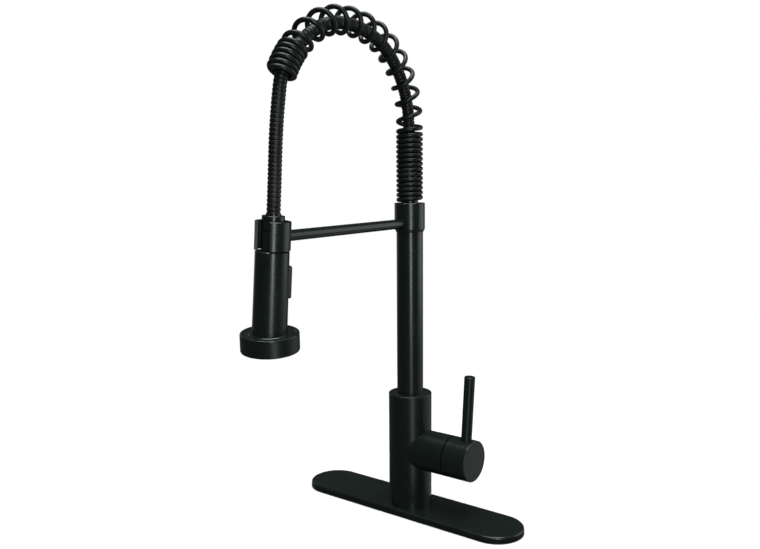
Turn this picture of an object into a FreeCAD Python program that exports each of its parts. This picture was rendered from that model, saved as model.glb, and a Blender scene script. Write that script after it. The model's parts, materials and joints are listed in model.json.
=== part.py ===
import FreeCAD, Part
import math
import os
from FreeCAD import Vector as V

# Spring-arch pre-rinse kitchen faucet with a side lever, a docked pull-down spray head
# and an oblong deck plate.
# Millimetres. +Z up. Origin: the column axis where it crosses the deck surface.
# +X points to the handle, -Y (front) to the user and the spray head.
# In names, R is a radius, IN an inner radius, and S a distance down the spray axis
# from the docking arm.

# ---------------------------------------------------------------- driving dimensions
PLATE_LENGTH = 260.0
PLATE_WIDTH = 57.0
PLATE_TOP = 7.0
PLATE_EDGE_R = 2.2       # rounding of the plate's upper edge
GASKET_T = 0.8           # gasket between plate and deck
DECK_T = 30.0            # worktop thickness between plate and clamp stack
SHANK_R, SHANK_IN = 16.0, 13.2
SHANK_BOTTOM, SHANK_TOP = -75.0, 18.0

BODY_R = 22.1            # upright valve body
BODY_TOP = 124.5
SOCKET_R = 15.2          # bore of the body that holds the column
BARREL_R = 20.7          # horizontal barrel that holds the cartridge
BARREL_Z = 66.2
INLET_Y, INLET_Z = 7.0, 62.0    # the two inlets lie at -INLET_Y and +INLET_Y
OUTLET_Z = 76.5

PIVOT_X = 32.0           # ball centre of the lever inside the cartridge
SEAM_X = 51.0            # middle of the seam between barrel and knob
SEAM_GAP = 0.6           # half of the seam, measured along X
KNOB_END = 77.7
STEM_HALF = 4.0          # half width of the square cartridge stem
SET_SCREW_X = 64.5
SET_SCREW_TOP = BARREL_Z - STEM_HALF
LEVER_X = 67.2           # where the lever axis meets the barrel axis
LEVER_R = 5.35
LEVER_LEAN = 3.0         # degrees, outwards
LEVER_LENGTH = 85.4      # from the barrel axis to the lever's tip

COLUMN_R, COLUMN_IN = 13.4, 12.2
COLUMN_TOP = 318.0
COLLAR_R = 15.3          # collar that carries the docking arm
COLLAR_BOTTOM, COLLAR_TOP = 290.8, 319.9
COLLAR_SCREW_Z = 306.0
ARM_R = 4.77
ARM_Z = 299.67

HEAD_Y = -194.56         # docking ring centre
HEAD_LEAN = 1.0          # degrees, lower end of the spray axis outwards
HEAD_ROLL = 3.6          # degrees about the arm, lower end towards -X
RING_R, RING_IN = 15.1, 12.4
RING_TOP_S, RING_BOTTOM_S = -13.6, 10.6
RING_OPEN = 35.0         # half angle of the ring's front opening, degrees
LINER_OPEN = 72.0        # the same for its liner
NECK_R = 9.58
NECK_TOP_S = -17.9
SWIVEL_S = -5.6          # middle of the groove between hose nut and head
SHELL_TOP_S = 11.3
SHELL_TOP_R, SHELL_R = 14.4, 14.9
CORE_IN = 12.6           # bore of the shell that holds the core
DISC_TOP_S, DISC_BOTTOM_S = 80.2, 96.0
DISC_H = DISC_BOTTOM_S - DISC_TOP_S
DISC_R = 25.1
FACE_TILT = 5.7          # degrees, spray face turned towards the column
BUTTON_R = 17.6          # outer radius of the button's curved face
BUTTON_HALF = 9.5        # half width
BUTTON_TOP_S, BUTTON_BOTTOM_S = 24.3, 51.9
BUTTON_FLOOR = 6.9       # local y of the flat floor of the button's pocket
DIVERTER_Z = -38.0       # diverter axis in the spray frame
DIVERTER_RING_Y = (-3.0, 5.4)

WIRE_R = 2.25            # arch spring wire
COIL_R = 11.15           # mean coil radius
HOSE_R, HOSE_IN = 5.85, 4.65

X, Y, Z = V(1, 0, 0), V(0, 1, 0), V(0, 0, 1)
PIECES = []


# ---------------------------------------------------------------- helpers
def piece(build):
    """Registers a function that builds the piece it is named after."""
    PIECES.append(build)
    return build


def rod(radius, start, end):
    start, end = V(*start), V(*end)
    return Part.makeCylinder(radius, (end - start).Length, start, end - start)


def rod_y(radius, y0, y1, z):
    return rod(radius, (0, y0, z), (0, y1, z))


def post(radius, z0, z1, x=0, y=0):
    """Upright cylinder."""
    return Part.makeCylinder(radius, z1 - z0, V(x, y, z0))


def tube(outer, inner, z0, z1):
    """Upright tube on the Z axis."""
    return post(outer, z0, z1).cut(post(inner, z0 - 1, z1 + 1))


def box(x0, x1, y0, y1, z0, z1):
    return Part.makeBox(x1 - x0, y1 - y0, z1 - z0, V(x0, y0, z0))


def stadium(length, width, z0, z1):
    """Oblong slab with round ends, long along X."""
    r = width / 2
    c = length / 2 - r
    slab = post(r, z0, z1, -c).fuse([post(r, z0, z1, c), box(-c, c, -r, r, z0, z1)])
    return slab.removeSplitter()


def lathe(outline):
    """Solid of revolution about Z from a closed outline of (radius, z)."""
    points = [V(r, 0, z) for r, z in outline]
    return Part.Face(Part.makePolygon(points + points[:1])).revolve(V(0, 0, 0), Z, 360)


def lathe_down(outline):
    """The same in the spray frame, from (radius, s) with s downwards."""
    return lathe([(r, -s) for r, s in outline])


def lathe_face(outline):
    """The same from (radius, height above the disc's lower face)."""
    return lathe_down([(r, DISC_BOTTOM_S - height) for r, height in outline])


def torus(major, minor, z):
    return Part.makeTorus(major, minor, V(0, 0, z))


def polar(radius, degrees):
    angle = math.radians(degrees)
    return radius * math.cos(angle), radius * math.sin(angle)


def hex_prism(radius, centre, side, extrusion):
    """Hexagon in the plane of X and side, with a corner on +X, extruded."""
    corners = [polar(radius, 60 * i) for i in range(7)]
    outline = Part.makePolygon([centre + X * a + side * b for a, b in corners])
    return Part.Face(outline).extrude(extrusion)


def moved(shape, placement):
    copy = shape.copy()
    copy.Placement = placement.multiply(copy.Placement)
    return copy


def on_barrel(shape):
    """Turns +Z to +X and puts the shape on the barrel axis. Its own +X becomes down."""
    return moved(shape, FreeCAD.Placement(V(0, 0, BARREL_Z), FreeCAD.Rotation(Y, 90)))


def fillet_edges(shape, radius, pick):
    edges = [e for e in shape.Edges if pick(e)]
    if not edges:
        return shape
    # guards against a failed or broken fillet: the edge then stays sharp
    try:
        rounded = shape.makeFillet(radius, edges)
        return rounded if rounded.isValid() and rounded.Volume > 0.5 * shape.Volume else shape
    except Exception:
        return shape


def is_circle(edge, radius, z):
    """True for a circular edge of this radius centred at height z."""
    curve = edge.Curve
    return (hasattr(curve, "Radius") and abs(curve.Radius - radius) < 1e-3
            and abs(curve.Center.z - z) < 1e-3)


def edge_points(edge, steps):
    first, last = edge.FirstParameter, edge.LastParameter
    return [edge.valueAt(first + (last - first) * k / steps) for k in range(steps + 1)]


def outward(shape):
    """Makes sure that the solid is not inside out."""
    if shape.Volume < 0:
        shape.reverse()
    return shape


def sweep(points, radius):
    """Round bar along an interpolated curve."""
    curve = Part.BSplineCurve()
    curve.interpolate(Points=points)
    start = curve.tangent(curve.FirstParameter)[0]
    profile = Part.Wire([Part.makeCircle(radius, points[0], start)])
    return outward(Part.Wire([curve.toShape()]).makePipeShell([profile], True, True))


def coil(radius, wire, turns, z0, z1):
    """Small helical spring about Z."""
    total = int(turns * 16)
    points = []
    for i in range(total + 1):
        x, y = polar(radius, 360 * turns * i / total)
        points.append(V(x, y, z0 + (z1 - z0) * i / total))
    return sweep(points, wire)


# ---------------------------------------------------------------- deck plate and clamp stack
WASHER_IN = 16.3
NUT_TOP = -DECK_T - 4.9
NUT_BOTTOM = NUT_TOP - 10
NUT_R = 26.5             # across corners, before they are trimmed
CLAMP_SCREW_R = 1.5
CLAMP_SCREWS = [polar(19.6, 30 + 120 * k) for k in range(3)]    # x, y


@piece
def deck_plate():
    plate = stadium(PLATE_LENGTH, PLATE_WIDTH, GASKET_T, PLATE_TOP)
    plate = fillet_edges(plate, PLATE_EDGE_R, lambda e: (
        abs(e.BoundBox.ZMin - PLATE_TOP) < 1e-4 and abs(e.BoundBox.ZMax - PLATE_TOP) < 1e-4))
    plate = plate.cut(stadium(PLATE_LENGTH - 14, PLATE_WIDTH - 14, GASKET_T - 1, 4.0))
    return plate.cut(post(17.3, 0, 10))


@piece
def deck_gasket():
    gasket = stadium(PLATE_LENGTH - 2.4, PLATE_WIDTH - 2.4, 0, GASKET_T - 0.02)
    return gasket.cut(stadium(PLATE_LENGTH - 12, PLATE_WIDTH - 12, -1, 2))


@piece
def centring_ring():
    return tube(17.2, 16.15, -6, 1.0).fuse(tube(20.4, 16.15, 1.0, 2.9)).removeSplitter()


@piece
def body_o_ring():
    return torus(19.5, 0.74, PLATE_TOP + 0.78)


@piece
def mounting_shank():
    return fillet_edges(tube(SHANK_R, SHANK_IN, SHANK_BOTTOM, SHANK_TOP), 0.8,
                        lambda e: is_circle(e, SHANK_R, SHANK_BOTTOM))


@piece
def clamp_rubber_washer():
    return tube(27.0, WASHER_IN, -DECK_T - 2.5, -DECK_T)


@piece
def clamp_steel_washer():
    return tube(28.0, WASHER_IN, -DECK_T - 4.6, -DECK_T - 2.52)


@piece
def mounting_nut():
    trim = lathe([(0, NUT_BOTTOM), (25.0, NUT_BOTTOM), (26.6, NUT_BOTTOM + 1.4),
                  (26.6, NUT_TOP - 1.4), (25.0, NUT_TOP), (0, NUT_TOP)])
    nut = hex_prism(NUT_R, V(0, 0, NUT_BOTTOM), Y, V(0, 0, NUT_TOP - NUT_BOTTOM)).common(trim)
    nut = nut.cut(post(SHANK_R + 0.05, NUT_BOTTOM - 1, NUT_TOP + 1))
    for x, y in CLAMP_SCREWS:
        nut = nut.cut(post(CLAMP_SCREW_R + 0.05, NUT_BOTTOM - 1, NUT_TOP + 1, x, y))
    return nut


@piece
def clamp_screws():
    screws = []
    head_top = NUT_TOP - 13.5
    head_bottom = NUT_TOP - 16.0
    for x, y in CLAMP_SCREWS:
        screw = post(CLAMP_SCREW_R, head_top, NUT_TOP + 0.28, x, y)
        screw = screw.fuse(post(2.8, head_bottom, head_top, x, y))
        slot = box(x - 0.4, x + 0.4, y - 4, y + 4, head_bottom - 1, head_bottom + 1)
        screws.append(screw.cut(slot).removeSplitter())
    return Part.makeCompound(screws)


# ---------------------------------------------------------------- valve body
# balls about the pivot: the end of the fixed barrel, and the hollow back of the knob
BARREL_BALL_R = math.hypot(SEAM_X - SEAM_GAP - PIVOT_X, BARREL_R)
KNOB_BALL_R = math.hypot(SEAM_X + SEAM_GAP - PIVOT_X, BARREL_R)


@piece
def valve_body():
    body = post(BODY_R, PLATE_TOP + 0.02, BODY_TOP)
    body = body.makeFillet(0.7, [e for e in body.Edges if is_circle(e, BODY_R, BODY_TOP)])
    ball = Part.makeSphere(BARREL_BALL_R, V(PIVOT_X, 0, BARREL_Z))
    barrel = rod(BARREL_R, (0, 0, BARREL_Z), (60, 0, BARREL_Z)).common(
        ball.fuse(box(-1, PIVOT_X, -30, 30, BARREL_Z - 30, BARREL_Z + 30)))
    body = body.fuse([barrel, post(17.0, 3.1, 9.0)]).removeSplitter()
    body = body.cut(post(SHANK_R + 0.05, 0, SHANK_TOP + 1))
    body = body.cut(tube(20.4, 18.6, 5.0, PLATE_TOP + 1.6))      # O-ring groove
    body = body.cut(on_barrel(post(17.6, 6.0, 40.0)))            # cartridge chamber
    body = body.cut(on_barrel(post(18.42, 40.0, 62.0)))
    body = body.cut(post(SOCKET_R, 87.0, 130.0))
    body = body.cut(post(16.3, 104.2, 105.9))                    # retaining ring groove
    for y in (-INLET_Y, INLET_Y):
        body = body.cut(post(4.6, SHANK_TOP, 31.0, 0, y))
        body = body.cut(post(3.5, 30.0, 65.0, 0, y))
        body = body.cut(rod(3.0, (0, y, INLET_Z), (7, y, INLET_Z)))
    body = body.cut(rod(3.5, (-2, 0, OUTLET_Z), (7, 0, OUTLET_Z)))
    return body.cut(post(4.0, OUTLET_Z, 88.0, -2))


# ---------------------------------------------------------------- mixing cartridge
# built about +Z, which on_barrel turns to +X; z here is the x of the faucet
CARTRIDGE_R = 17.4
ROTOR_R = 14.0
DISC_CARRIER_R = 9.2     # also the moving disc
PIN_R = 1.5


def ports(radius, z0, z1):
    """Two inlet ports and one outlet port through a disc of the cartridge."""
    inlet_x = BARREL_Z - INLET_Z
    outlet_x = BARREL_Z - OUTLET_Z
    return [post(radius, z0, z1, x, y)
            for x, y in ((inlet_x, INLET_Y), (inlet_x, -INLET_Y), (outlet_x, 0))]


@piece
def cartridge_seal():
    return on_barrel(post(16.8, 6.05, 7.45).cut(ports(2.9, 5, 9)))


@piece
def cartridge_base():
    return on_barrel(post(CARTRIDGE_R, 7.5, 12.1).cut(ports(2.7, 5, 14)))


@piece
def cartridge_housing():
    return on_barrel(lathe([(14.05, 12.15), (CARTRIDGE_R, 12.15), (CARTRIDGE_R, 40.0),
                            (12.0, 40.0), (12.0, 38.0), (14.05, 38.0)]))


@piece
def fixed_ceramic_disc():
    return on_barrel(post(ROTOR_R, 12.2, 15.2).cut(ports(2.5, 11, 17)))


@piece
def moving_ceramic_disc():
    return on_barrel(post(DISC_CARRIER_R, 15.23, 18.0).cut(post(6.4, 15, 16.6)))


@piece
def disc_carrier():
    carrier = post(DISC_CARRIER_R, 18.05, 22.5)
    return on_barrel(carrier.cut(box(-2.6, 2.6, -2.6, 2.6, 18.3, 24)))


@piece
def cartridge_rotor():
    rotor = post(ROTOR_R, 22.8, 37.7).cut(box(-8.2, 8.2, -4.15, 4.15, 22, 39))
    return on_barrel(rotor.cut(rod_y(PIN_R + 0.02, -20, 20, PIVOT_X)))


@piece
def rotor_pin():
    return on_barrel(rod_y(PIN_R, -13.6, 13.6, PIVOT_X))


@piece
def cartridge_stem():
    h = STEM_HALF
    ball_z = 20.9
    stem = box(-h, h, -h, h, 24.4, 71.0)
    stem = stem.fuse([Part.makeSphere(2.4, V(0, 0, ball_z)), post(1.8, ball_z, 25.0)])
    return on_barrel(stem.cut(rod_y(PIN_R + 0.05, -20, 20, PIVOT_X)).removeSplitter())


@piece
def cartridge_nut():
    """Domed nut with a flared opening and four blind holes."""
    dome_r = BARREL_BALL_R - 0.45
    rim_z, rim_r = polar(dome_r, 31.5)
    rim_z += PIVOT_X
    dome = Part.makeSphere(dome_r, V(0, 0, PIVOT_X)).common(post(18.36, 40.3, 70.0))
    dome = dome.cut(lathe([(0, 40.0), (12.4, 40.0), (12.4, 44.0), (rim_r, rim_z),
                           (rim_r + 2, rim_z + 6), (0, 70.0)]))
    for k in range(4):
        dome = dome.cut(post(1.3, 49.0, 60.0, *polar(15.4, 45 + 90 * k)))
    return on_barrel(dome)


# ---------------------------------------------------------------- handle
def lever_point(distance):
    """Point on the lever axis, at a distance from the barrel axis."""
    up, out = polar(distance, LEVER_LEAN)
    return V(LEVER_X + out, 0, BARREL_Z + up)


@piece
def handle_knob():
    knob = post(BARREL_R, 40.0, KNOB_END).cut(box(-30, 30, -30, 30, 30, PIVOT_X + 10))
    knob = knob.makeFillet(0.9, [e for e in knob.Edges if is_circle(e, BARREL_R, KNOB_END)])
    knob = knob.cut(Part.makeSphere(KNOB_BALL_R, V(0, 0, PIVOT_X)))
    knob = max(knob.Solids, key=lambda s: s.BoundBox.ZMax)
    h = STEM_HALF + 0.05
    knob = on_barrel(knob.cut(box(-h, h, -h, h, 50.0, 71.2)))
    knob = knob.cut(rod(LEVER_R + 0.05, lever_point(19.2), lever_point(30.0)))
    knob = knob.cut(rod(3.05, lever_point(8.5), lever_point(25.0)))
    return knob.cut(post(2.55, BARREL_Z - 30, SET_SCREW_TOP, SET_SCREW_X))


@piece
def lever_rod():
    tip = lever_point(LEVER_LENGTH)
    lever = rod(LEVER_R, lever_point(19.25), tip)
    lever = fillet_edges(lever, 0.7, lambda e: (
        hasattr(e.Curve, "Radius") and (e.Curve.Center - tip).Length < 0.01))
    return lever.fuse(rod(3.0, lever_point(9.0), lever_point(22.0))).removeSplitter()


@piece
def handle_set_screw():
    screw = post(2.5, SET_SCREW_TOP - 8.0, SET_SCREW_TOP - 0.06, SET_SCREW_X)
    return screw.cut(hex_prism(1.44, V(SET_SCREW_X, 0, SET_SCREW_TOP - 8.5), Y, V(0, 0, 3.5)))


# ---------------------------------------------------------------- swivelling column
@piece
def spigot_slide_ring():
    return tube(15.0, 9.5, 87.05, 88.0)


@piece
def column_spigot():
    return lathe([(8.0, 88.1), (15.13, 88.1), (15.13, 92.0), (13.2, 92.0), (13.2, 94.4),
                  (15.13, 94.4), (15.13, 98.0), (13.2, 98.0), (13.2, 100.4), (15.13, 100.4),
                  (15.13, 104.0), (12.15, 104.0), (12.15, 120.0), (8.0, 120.0)])


@piece
def spigot_o_rings():
    return Part.makeCompound([torus(14.2, 0.96, 93.2), torus(14.2, 0.96, 99.2)])


@piece
def spout_retaining_ring():
    return tube(16.2, 13.55, 104.35, 105.7).cut(box(10, 20, -2, 2, 100, 110))


@piece
def column_bushing():
    return tube(SOCKET_R - 0.04, COLUMN_R + 0.05, 106.1, BODY_TOP - 0.25)


@piece
def column_tube():
    return tube(COLUMN_R, COLUMN_IN, 104.05, COLUMN_TOP)


@piece
def dock_collar():
    bore = COLUMN_R + 0.03
    collar = lathe([(bore, COLLAR_BOTTOM), (COLUMN_R + 0.35, COLLAR_BOTTOM),
                    (COLLAR_R, COLLAR_BOTTOM + 3.2), (COLLAR_R, COLLAR_TOP - 0.35),
                    (COLLAR_R - 0.35, COLLAR_TOP), (bore, COLLAR_TOP)])
    collar = collar.cut(rod_y(ARM_R + 0.03, -20, -5, ARM_Z))
    return collar.cut(rod_y(2.05, 5, 20, COLLAR_SCREW_Z))


@piece
def collar_set_screw():
    screw = rod_y(2.0, COLUMN_R + 0.02, COLLAR_R - 0.1, COLLAR_SCREW_Z)
    return screw.cut(hex_prism(1.15, V(0, COLLAR_R + 0.5, COLLAR_SCREW_Z), Z, V(0, -1.7, 0)))


@piece
def spring_fitting():
    return lathe([(4.0, 297.0), (12.15, 297.0), (12.15, 302.0), (10.4, 302.0), (10.4, 304.4),
                  (12.15, 304.4), (12.15, 318.04), (13.3, 318.04), (13.3, 319.85),
                  (8.5, 319.85), (8.5, 340.0), (7.6, 341.0), (4.0, 341.0)])


@piece
def fitting_o_ring():
    return torus(11.3, 0.86, 303.2)


@piece
def hose_ferrule():
    return lathe([(4.0, 341.1), (7.7, 341.1), (7.7, 354.4), (7.1, 355.6), (5.95, 355.6),
                  (5.95, 343.2), (4.0, 343.2)])


# ---------------------------------------------------------------- spray frame
# local +Z is up the spray axis, and z = -s is s millimetres below the arm
lean, roll = math.radians(HEAD_LEAN), math.radians(HEAD_ROLL)
HEAD_AT = V(0, HEAD_Y, ARM_Z)
HEAD_UP = V(math.sin(roll), math.sin(lean) * math.cos(roll), math.cos(lean) * math.cos(roll))
head_x = Y.cross(HEAD_UP)
head_x.normalize()
head_y = HEAD_UP.cross(head_x)
HEAD = FreeCAD.Placement(FreeCAD.Matrix(
    head_x.x, head_y.x, HEAD_UP.x, HEAD_AT.x,
    head_x.y, head_y.y, HEAD_UP.y, HEAD_AT.y,
    head_x.z, head_y.z, HEAD_UP.z, HEAD_AT.z,
    0, 0, 0, 1))
# the face frame turns about local X through the middle of the disc's upper face
FACE = FreeCAD.Placement(V(0, 0, 0), FreeCAD.Rotation(X, FACE_TILT), V(0, 0, -DISC_TOP_S))


def in_head(shape):
    return moved(shape, HEAD)


def in_face(shape):
    return in_head(moved(shape, FACE))


# ---------------------------------------------------------------- arch: spring and hose
# centre line of the coil in the plane x = 0, from the fitting to the spray head: (y, z)
ARCH = [(0, 300), (0, 345), (0.0, 385.1), (-2.6, 419.1), (-17.9, 449.6), (-42.7, 471.7),
        (-73.2, 482.7), (-104.3, 484.7), (-133.1, 477.6), (-157.1, 461.7), (-171.3, 447.3),
        (-180.5, 432.6), (-184.5, 424.0)]

# turns, counted from the first open loop above the column, and the distance along the
# arch at each; the first stretch is closed coils
CLOSED_PITCH = 4.79
TURNS = [-15.82] + list(range(-3, 18))
OPEN_DISTANCES = [83.65, 88.6, 95.6, 112.6, 130.0, 147.8, 165.4, 183.3, 201.6, 220.4, 239.7,
                  259.1, 277.2, 296.4, 314.0, 322.3, 327.2, 332.0, 336.8, 341.6, 346.4]
DISTANCES = [OPEN_DISTANCES[0] - (TURNS[1] - TURNS[0]) * CLOSED_PITCH] + OPEN_DISTANCES
STEPS_PER_TURN = 20

# hose: (distance along the arch, offset from the coil's centre line to the arch's inside)
HOSE_IN_COIL = [(43.2, 0.0), (60, 0.0), (80, 0.3), (100, 1.2), (120, 2.0), (145, 2.3),
                (170, 2.3), (195, 2.3), (220, 2.3), (245, 2.3), (270, 2.3), (292, 2.2),
                (312, 1.8), (326, 1.1)]
# then x, y, z below the coil, and s on the spray axis
HOSE_FREE = [(0, -179.9, 431.6), (0, -182.9, 419.2), (0.1, -186.7, 395.0),
             (0.35, -189.4, 370.8), (0.8, -191.6, 346.5)]
HOSE_END_S = [-30.0, -20.0, -12.2]
HOSE_STATIONS = 56


class NaturalCubic:
    """Natural cubic spline through values at increasing distances."""

    def __init__(self, at, values):
        last = len(at) - 1
        gap = [b - a for a, b in zip(at, at[1:])]
        slope = [(b - a) / g for a, b, g in zip(values, values[1:], gap)]
        diagonal = [1.0] + [2 * (gap[i - 1] + gap[i]) for i in range(1, last)]
        right = [0.0] + [6 * (slope[i] - slope[i - 1]) for i in range(1, last)]
        for i in range(2, last):
            weight = gap[i - 1] / diagonal[i - 1]
            diagonal[i] -= weight * gap[i - 1]
            right[i] -= weight * right[i - 1]
        bend = [0.0] * (last + 1)      # second derivatives
        for i in range(last - 1, 0, -1):
            bend[i] = (right[i] - gap[i] * bend[i + 1]) / diagonal[i]
        self.at, self.values, self.bend = at, values, bend

    def __call__(self, distance):
        """Value and slope."""
        i = span(self.at, distance)
        gap = self.at[i + 1] - self.at[i]
        v0, v1 = self.values[i:i + 2]
        m0, m1 = self.bend[i:i + 2]
        q = (distance - self.at[i]) / gap
        p = 1 - q
        value = p * v0 + q * v1 + ((p ** 3 - p) * m0 + (q ** 3 - q) * m1) * gap ** 2 / 6
        slope = (v1 - v0) / gap + ((3 * q * q - 1) * m1 - (3 * p * p - 1) * m0) * gap / 6
        return value, slope


def span(knots, at):
    """Index of the interval that holds a value; the end intervals reach on outwards."""
    i = 0
    while i < len(knots) - 2 and at > knots[i + 1]:
        i += 1
    return i


chords = [0.0]
for (y0, z0), (y1, z1) in zip(ARCH, ARCH[1:]):
    chords.append(chords[-1] + math.hypot(y1 - y0, z1 - z0))
arch_y = NaturalCubic(chords, [y for y, z in ARCH])
arch_z = NaturalCubic(chords, [z for y, z in ARCH])

# advance per turn between the table's rows, and its harmonic mean at each row
steps = [(DISTANCES[i + 1] - DISTANCES[i]) / (TURNS[i + 1] - TURNS[i])
         for i in range(len(TURNS) - 1)]
PITCHES = steps[:1] + [2 * a * b / (a + b) for a, b in zip(steps, steps[1:])] + steps[-1:]


def arch_point(distance, offset, x=0):
    """Point beside the arch; offset is towards its outer side, in the plane."""
    y, slope_y = arch_y(distance)
    z, slope_z = arch_z(distance)
    length = math.hypot(slope_y, slope_z)
    return V(x, y + offset * slope_z / length, z - offset * slope_y / length)


def turn_distance(turn):
    """Distance along the arch at a turn, by monotone cubic Hermite spans."""
    i = span(TURNS, turn)
    h = TURNS[i + 1] - TURNS[i]
    t = (turn - TURNS[i]) / h
    return ((2 * t ** 3 - 3 * t ** 2 + 1) * DISTANCES[i]
            + (t ** 3 - 2 * t ** 2 + t) * h * PITCHES[i]
            + (-2 * t ** 3 + 3 * t ** 2) * DISTANCES[i + 1]
            + (t ** 3 - t ** 2) * h * PITCHES[i + 1])


@piece
def arch_spring():
    turns = TURNS[-1] - TURNS[0]
    count = int(turns * STEPS_PER_TURN)
    points = []
    for i in range(count + 1):
        turn = TURNS[0] + turns * i / count
        offset, side = polar(COIL_R, 360 * turn)
        points.append(arch_point(turn_distance(turn), offset, -side))
    return sweep(points, WIRE_R)


hose_curve = Part.BSplineCurve()
hose_curve.interpolate(Points=[arch_point(distance, -inward) for distance, inward in HOSE_IN_COIL]
                       + [V(*point) for point in HOSE_FREE]
                       + [HEAD_AT - HEAD_UP * s for s in HOSE_END_S])


def hose_bar(radius):
    """Loft through circles square to the hose's centre line."""
    first, last = hose_curve.FirstParameter, hose_curve.LastParameter
    rings = []
    for i in range(HOSE_STATIONS + 1):
        u = first + (last - first) * i / HOSE_STATIONS
        circle = Part.makeCircle(radius, hose_curve.value(u), hose_curve.tangent(u)[0])
        rings.append(Part.Wire([circle]))
    return outward(Part.makeLoft(rings, True, True))


@piece
def hose_cover():
    return hose_bar(HOSE_R).cut(hose_bar(HOSE_IN))


@piece
def hose_core():
    return hose_bar(HOSE_IN - 0.06).cut(hose_bar(3.2))


# ---------------------------------------------------------------- docking arm and ring
def front_wedge(half_angle):
    """Prism that opens the ring to the front, half angle in degrees."""
    reach = 40
    back, side = polar(reach, half_angle)
    top, bottom = RING_TOP_S - 1, RING_BOTTOM_S + 1
    corners = [(0, 0), (side, -back), (0, -reach * 1.6), (-side, -back), (0, 0)]
    outline = Part.makePolygon([V(x, y, -bottom) for x, y in corners])
    return Part.Face(outline).extrude(V(0, 0, bottom - top))


@piece
def dock_arm():
    arm = rod_y(ARM_R, -COLUMN_R - 0.02, HEAD_Y + 5, ARM_Z).cut(post(COLUMN_R + 0.03, 280, 330))
    arm = arm.cut(in_head(post(RING_R + 0.03, -40, 40)))
    arm = max(arm.Solids, key=lambda s: s.BoundBox.YMax)
    return arm.cut(rod_y(2.05, HEAD_Y + 10, HEAD_Y + 24.5, ARM_Z))


@piece
def dock_ring():
    edge = 0.4
    ring = lathe_down([(RING_IN, RING_TOP_S), (RING_R - edge, RING_TOP_S),
                       (RING_R, RING_TOP_S + edge), (RING_R, RING_BOTTOM_S - edge),
                       (RING_R - edge, RING_BOTTOM_S), (RING_IN, RING_BOTTOM_S)])
    ring = in_head(ring.cut(front_wedge(RING_OPEN)))
    ring = ring.cut(rod_y(2.05, HEAD_Y + 5, HEAD_Y + 20, ARM_Z))
    return ring.cut(rod_y(3.7, HEAD_Y + 5, HEAD_Y + 13.7, ARM_Z))


@piece
def ring_screw():
    screw = rod_y(2.0, HEAD_Y + 12.55, HEAD_Y + 24.0, ARM_Z)
    screw = screw.fuse(rod_y(3.6, HEAD_Y + 12.35, HEAD_Y + 13.6, ARM_Z))
    slot = box(-0.5, 0.5, HEAD_Y + 12, HEAD_Y + 12.8, ARM_Z - 5, ARM_Z + 5)
    return screw.cut(slot).removeSplitter()


@piece
def dock_liner():
    inner, outer = 10.35, RING_IN - 0.05
    top, bottom = RING_TOP_S + 1.2, RING_BOTTOM_S - 1.2
    liner = lathe_down([(inner, top), (outer, top), (outer, bottom), (inner, bottom)])
    liner = in_head(liner.cut(front_wedge(LINER_OPEN)))
    return liner.cut(rod_y(3.9, HEAD_Y + 5, HEAD_Y + 20, ARM_Z))


# ---------------------------------------------------------------- hose end and swivel
@piece
def hose_end_nut():
    bore = HOSE_R + 0.06
    bottom = SWIVEL_S - 0.3
    return in_head(lathe_down([
        (bore, NECK_TOP_S - 1.5), (6.5, NECK_TOP_S - 1.5), (6.5, NECK_TOP_S),
        (NECK_R - 0.3, NECK_TOP_S), (NECK_R, NECK_TOP_S + 0.3), (NECK_R, bottom),
        (4.98, bottom), (4.98, -11.9), (bore, -11.9)]))


@piece
def swivel_stem():
    return in_head(lathe_down([
        (2.3, -22.0), (2.7, -22.0), (3.0, -20.6), (2.7, -18.0), (3.0, -16.6), (2.7, -14.0),
        (2.7, -11.6), (4.94, -11.6), (4.94, 1.8), (3.7, 1.8), (3.7, 3.6), (4.94, 3.6),
        (4.94, 7.3), (4.2, 7.3), (4.2, 8.5), (4.94, 8.5), (4.94, 11.0), (3.7, 11.0),
        (3.7, 12.8), (4.94, 12.8), (4.94, 14.6), (2.3, 14.6)]))


@piece
def swivel_o_rings():
    return Part.makeCompound([in_head(torus(4.35, 0.62, z)) for z in (-2.7, -11.9)])


@piece
def swivel_clip():
    clip = lathe_down([(4.25, 7.4), (7.2, 7.4), (7.2, 8.4), (4.25, 8.4)])
    return in_head(clip.cut(box(0, 10, -1.6, 1.6, -9, -7)))


# ---------------------------------------------------------------- spray head
def button_prism(clearance, corner):
    """Rounded rectangular prism along local Y, on the column side of the head."""
    half = BUTTON_HALF + clearance
    y0, y1 = 5.0, 25.0
    block = box(-half, half, y0, y1, -BUTTON_BOTTOM_S - clearance, -BUTTON_TOP_S + clearance)
    return block.makeFillet(corner, [e for e in block.Edges
                                     if abs(e.BoundBox.YLength - (y1 - y0)) < 1e-6])


def on_junction(edge):
    """True for edges where the shell's cylinder meets the disc."""
    return edge.BoundBox.DiagonalLength > 5 and all(
        abs(math.hypot(p.x, p.y) - SHELL_R) < 0.08 and abs(p.z + DISC_TOP_S) < 3
        for p in edge_points(edge, 8))


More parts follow.
